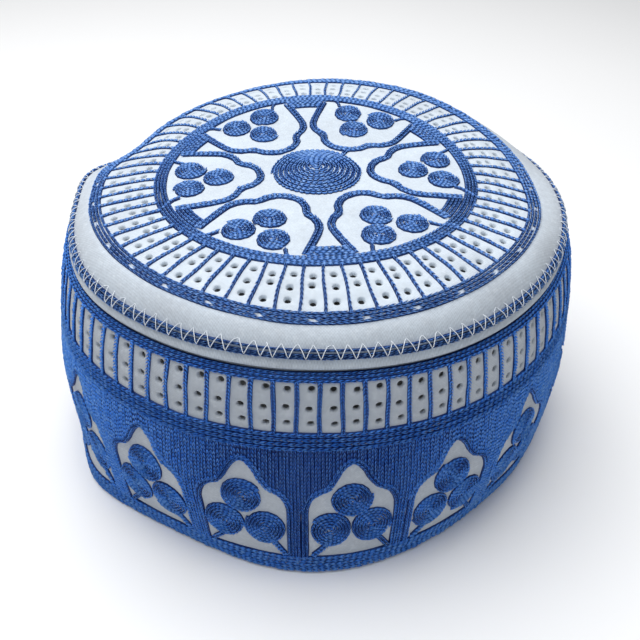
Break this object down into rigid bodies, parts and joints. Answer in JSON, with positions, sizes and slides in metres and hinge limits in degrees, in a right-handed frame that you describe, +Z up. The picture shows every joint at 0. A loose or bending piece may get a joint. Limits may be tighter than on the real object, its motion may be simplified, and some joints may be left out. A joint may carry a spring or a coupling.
{
  "type": "kufi cap",
  "caption": "Round kufi cap of stiffened white cotton, hollow and open below, with a blue chain-stitched crown of lobes, rings and spokes and a side band of arches.",
  "frame": {"origin": "on the floor under the middle of the cap's overall box", "axes": "+Z up through the crown, -Y to the front of the picture, +X to the right"},
  "size_m": [0.1958, 0.1885, 0.1077],
  "materials": {
    "crown_cotton": "stiffened bright white cotton, fine weave",
    "side_cotton": "stiffened grey-white cotton, fine weave",
    "blue_thread": "dense chain stitching in matt blue cotton thread"
  },
  "bodies": {
    "root": {"crown_panel": "crown_cotton", "side_band": "side_cotton", "crown_medallion": "blue_thread", "crown_inner_ring": "blue_thread", "crown_outer_ring": "blue_thread", "crown_edge_braid": "blue_thread", "crown_arch_1": "blue_thread", "crown_arch_2": "blue_thread", "crown_arch_3": "blue_thread", "crown_arch_4": "blue_thread", "crown_arch_5": "blue_thread", "crown_arch_6": "blue_thread", "side_top_braid": "blue_thread", "side_arcade": "blue_thread", "hem_braid": "blue_thread"}
  },
  "joints": []
}
